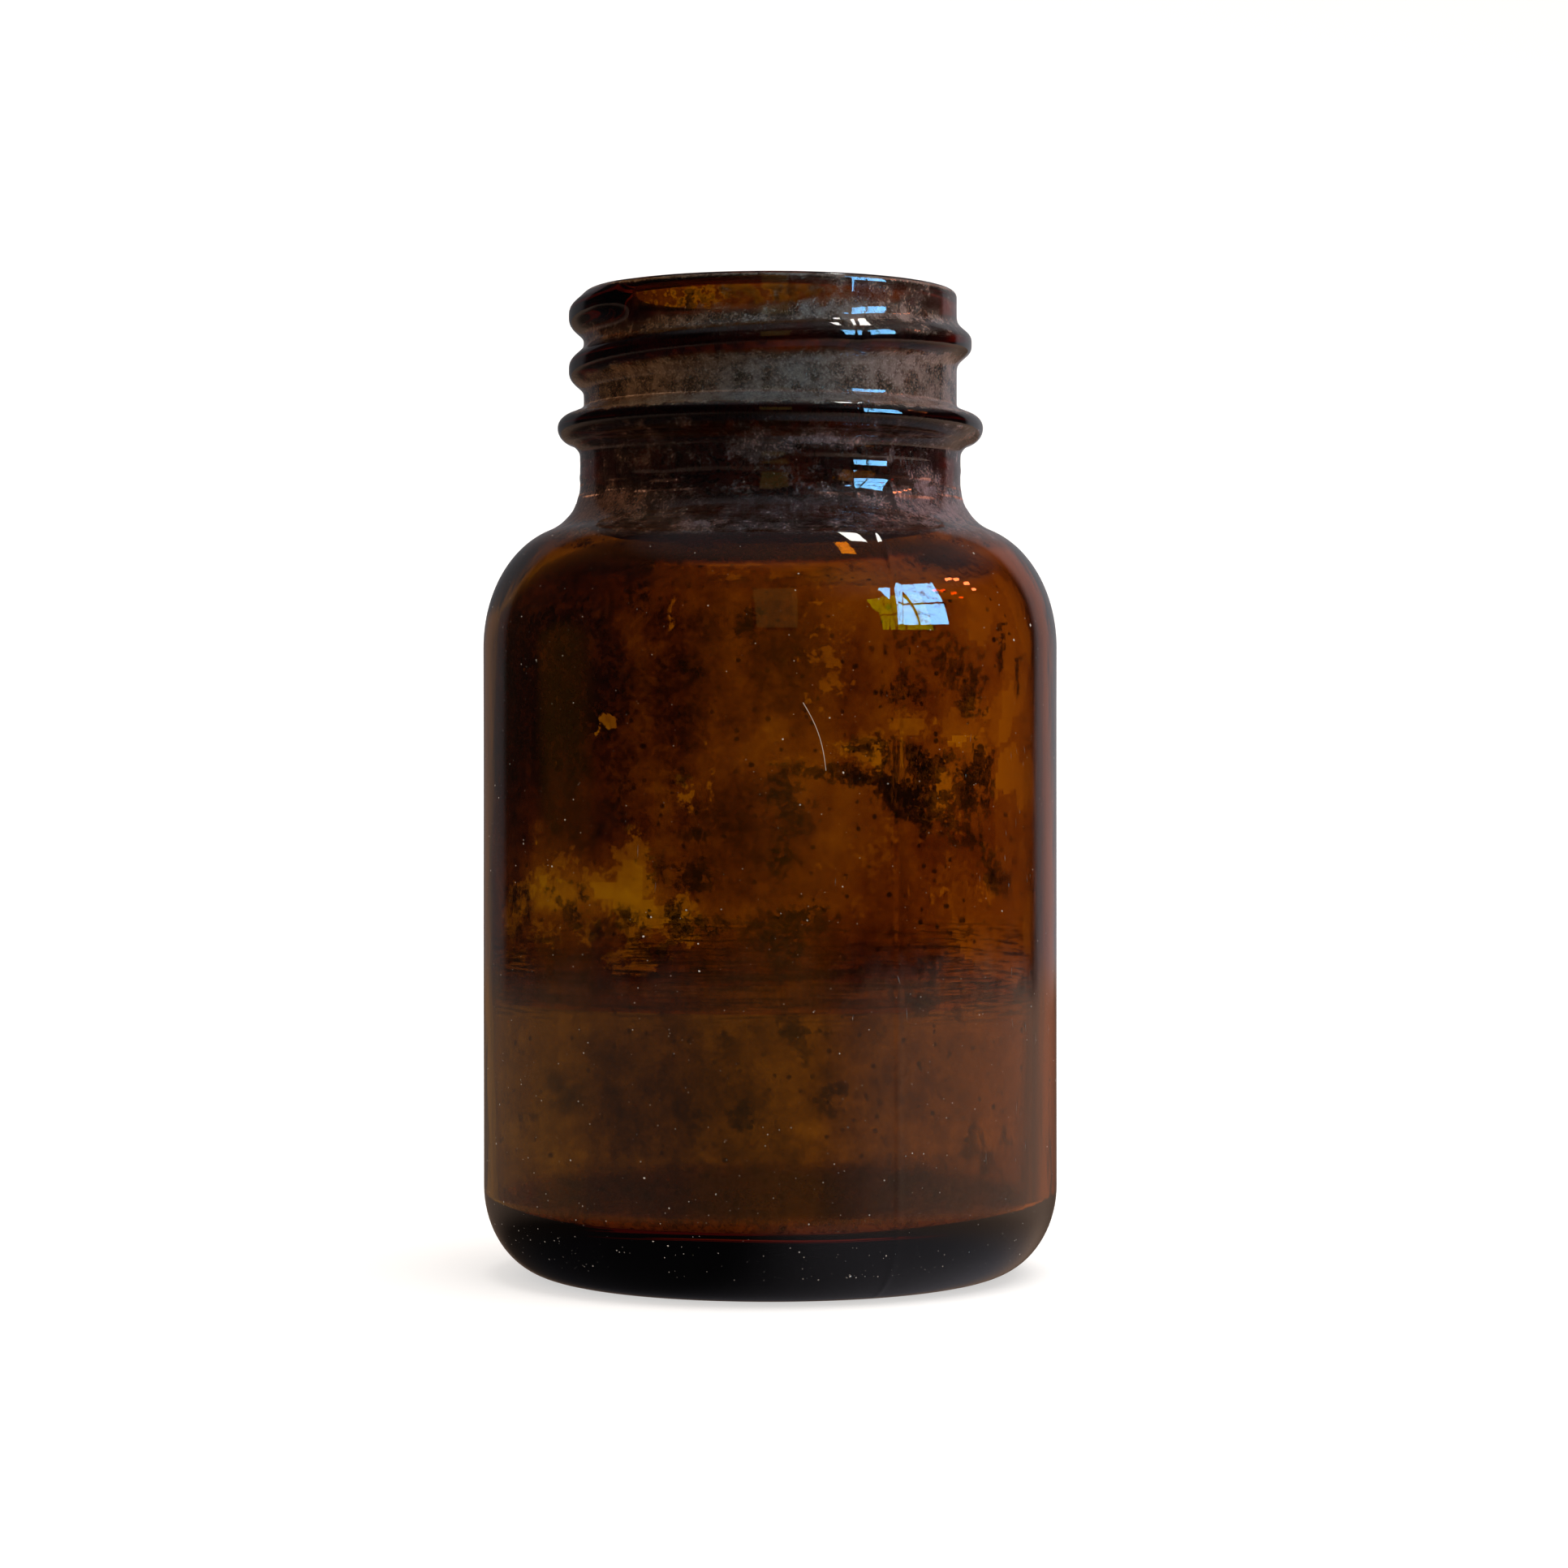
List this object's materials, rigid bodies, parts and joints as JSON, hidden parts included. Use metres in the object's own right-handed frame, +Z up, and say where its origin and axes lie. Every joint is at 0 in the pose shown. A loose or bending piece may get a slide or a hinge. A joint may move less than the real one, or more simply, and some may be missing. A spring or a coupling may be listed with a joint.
{
  "type": "amber glass tablet bottle",
  "caption": "Wide-mouth amber glass tablet bottle, empty and uncapped, with a round body, rounded shoulder, screw neck and transfer bead, stained inside with dried residue.",
  "frame": {"origin": "middle of the circle that the bottle stands on", "axes": "+Z up the bottle's axis from base to mouth; +X to the right as the picture shows it, +Y away from the viewer"},
  "size_m": [0.0452, 0.0452, 0.0775],
  "materials": {
    "amber_glass": "gloss",
    "brown_residue": "matte",
    "dark_residue": "matte",
    "dust_crust": "matte"
  },
  "bodies": {
    "root": {"glass_bottle": "amber_glass", "lower_residue_film": "brown_residue", "upper_residue_film": "dark_residue", "upper_groove_crust": "dust_crust", "lower_groove_crust": "dust_crust", "neck_corner_crust": "dust_crust"}
  },
  "joints": []
}
